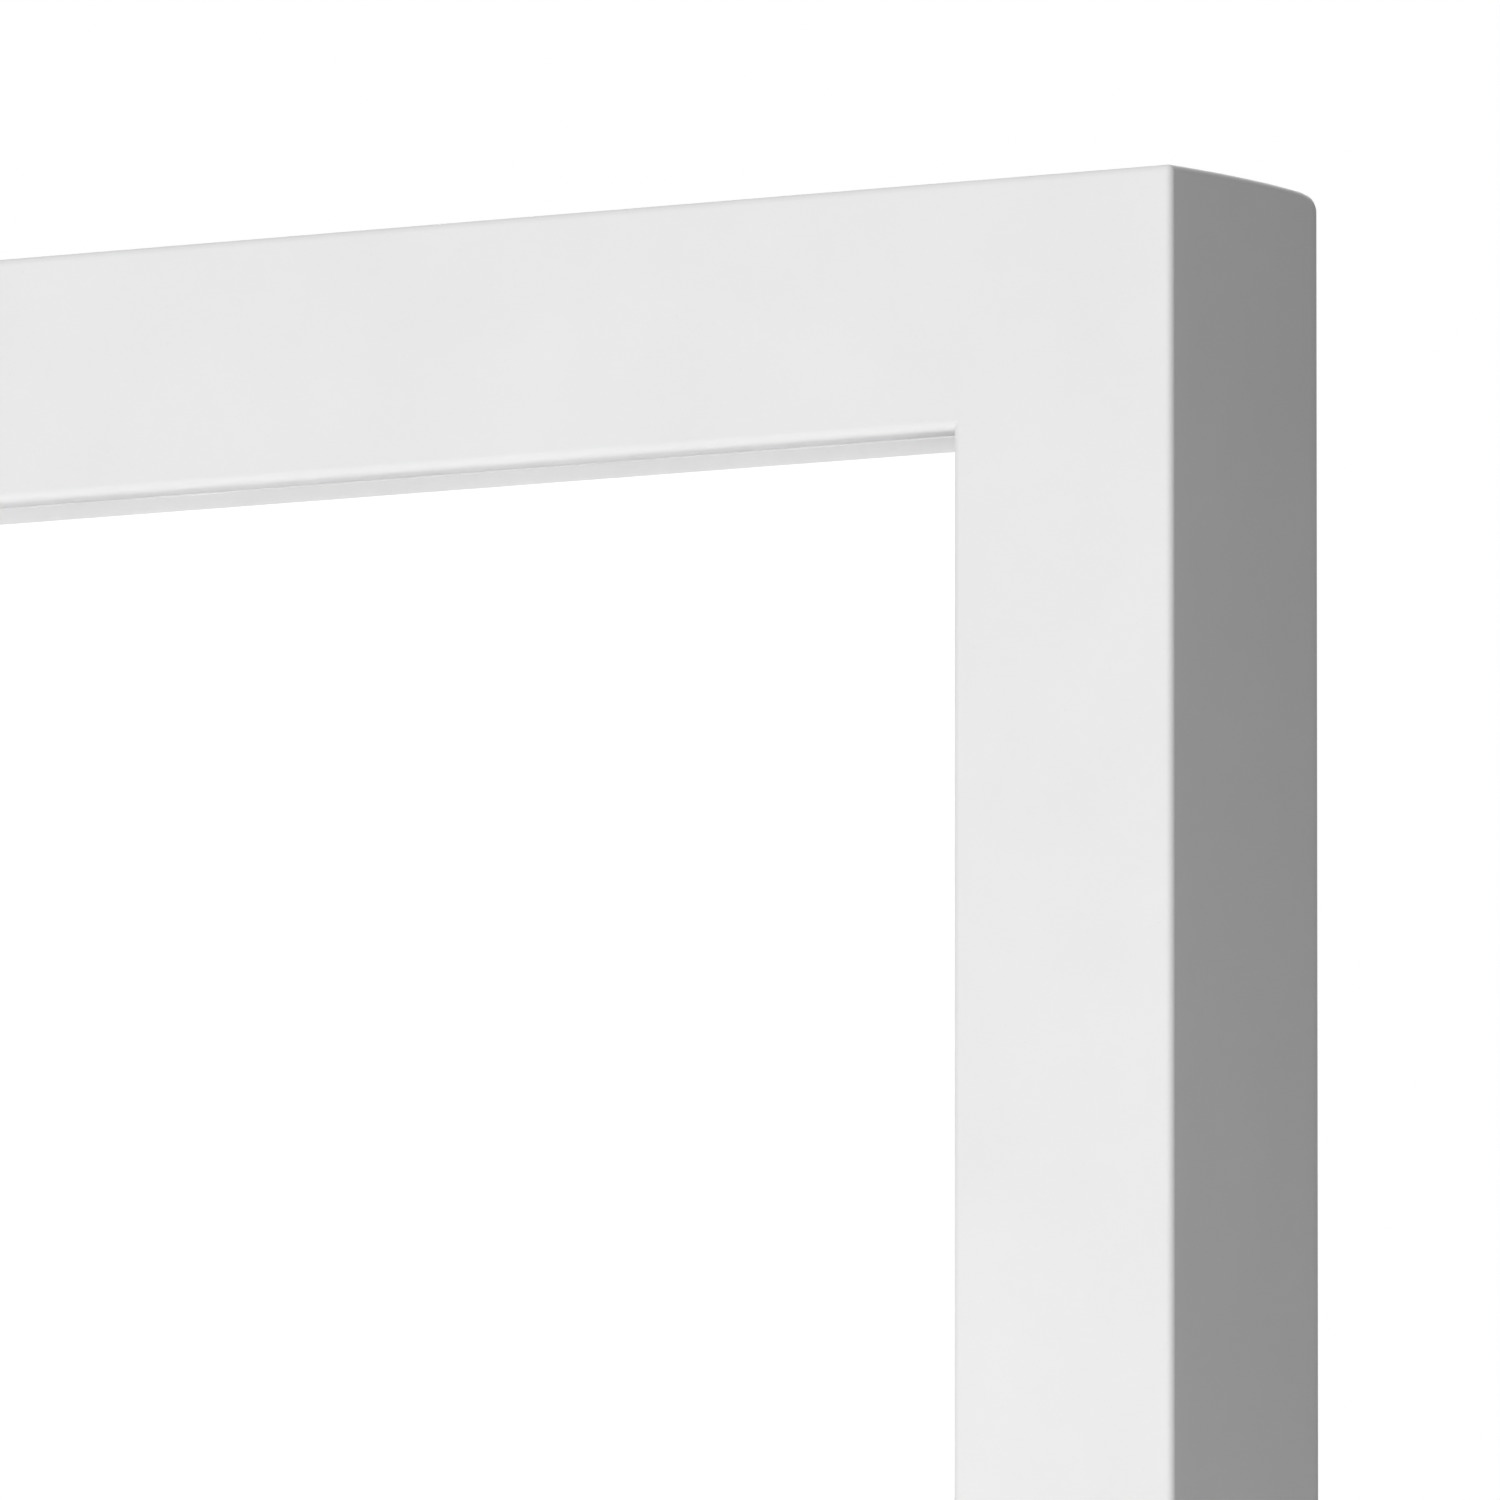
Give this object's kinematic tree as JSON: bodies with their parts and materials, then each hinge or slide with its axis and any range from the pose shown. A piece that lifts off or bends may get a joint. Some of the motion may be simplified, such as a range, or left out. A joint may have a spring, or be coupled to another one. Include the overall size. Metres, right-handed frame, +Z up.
{
  "type": "shadow box",
  "caption": "Deep white mitred frame with a glass front, white inner walls, a display board and a lift-out back panel, for a wall or a shelf.",
  "frame": {"origin": "underside of the bottom rail, on the centre line, at the middle of the frame's depth", "axes": "+Z up, +X to the right seen from the front, and the front faces -Y"},
  "size_m": [0.244, 0.0364, 0.2948],
  "materials": {
    "frame_paint": "satin white paint over wood",
    "liner_white": "matt white paint",
    "board_white": "matt white paper face on foam core",
    "hardboard": "smooth brown hardboard",
    "glazing": "clear float glass",
    "tab_steel": "cold rolled spring steel",
    "nail_steel": "bright hardened steel",
    "hanger_zinc": "zinc plate",
    "bumper_rubber": "soft translucent rubber"
  },
  "bodies": {
    "frame": {"top_rail": "frame_paint", "right_rail": "frame_paint", "bottom_rail": "frame_paint", "left_rail": "frame_paint", "top_tab_1": "tab_steel", "top_tab_2": "tab_steel", "right_tab_1": "tab_steel", "right_tab_2": "tab_steel", "right_tab_3": "tab_steel", "bottom_tab_1": "tab_steel", "bottom_tab_2": "tab_steel", "left_tab_1": "tab_steel", "left_tab_2": "tab_steel", "left_tab_3": "tab_steel", "top_right_v_nail_1": "nail_steel", "top_right_v_nail_2": "nail_steel", "bottom_right_v_nail_1": "nail_steel", "bottom_right_v_nail_2": "nail_steel", "bottom_left_v_nail_1": "nail_steel", "bottom_left_v_nail_2": "nail_steel", "top_left_v_nail_1": "nail_steel", "top_left_v_nail_2": "nail_steel", "right_hanger_strap": "hanger_zinc", "left_hanger_strap": "hanger_zinc", "right_hanger_screw": "hanger_zinc", "left_hanger_screw": "hanger_zinc", "right_bumper": "bumper_rubber", "left_bumper": "bumper_rubber"},
    "glass": {"glass_pane": "glazing"},
    "liner": {"top_liner": "liner_white", "right_liner": "liner_white", "bottom_liner": "liner_white", "left_liner": "liner_white"},
    "board": {"display_board": "board_white"},
    "back": {"back_panel": "hardboard"},
    "left_ring": {"left_hanger_ring": "hanger_zinc"},
    "right_ring": {"right_hanger_ring": "hanger_zinc"}
  },
  "joints": [
    {"name": "glass_slide", "type": "slide", "parent": "frame", "child": "glass", "axis": [0, 1, 0], "range_m": [0, 0.06]},
    {"name": "liner_slide", "type": "slide", "parent": "glass", "child": "liner", "axis": [0, 1, 0], "range_m": [0, 0.06]},
    {"name": "board_slide", "type": "slide", "parent": "liner", "child": "board", "axis": [0, 1, 0], "range_m": [0, 0.06]},
    {"name": "back_slide", "type": "slide", "parent": "board", "child": "back", "axis": [0, 1, 0], "range_m": [0, 0.06], "deforming": ["top_tab_1", "top_tab_2", "right_tab_1", "right_tab_2", "right_tab_3", "bottom_tab_1", "bottom_tab_2", "left_tab_1", "left_tab_2", "left_tab_3"]},
    {"name": "left_ring_hinge", "type": "hinge", "parent": "frame", "child": "left_ring", "pos_m": [-0.11061, 0.0182, 0.19653], "axis": [1, 0, 0], "range_deg": [0, 180]},
    {"name": "right_ring_hinge", "type": "hinge", "parent": "frame", "child": "right_ring", "pos_m": [0.11061, 0.0182, 0.19653], "axis": [1, 0, 0], "range_deg": [0, 180]}
  ]
}
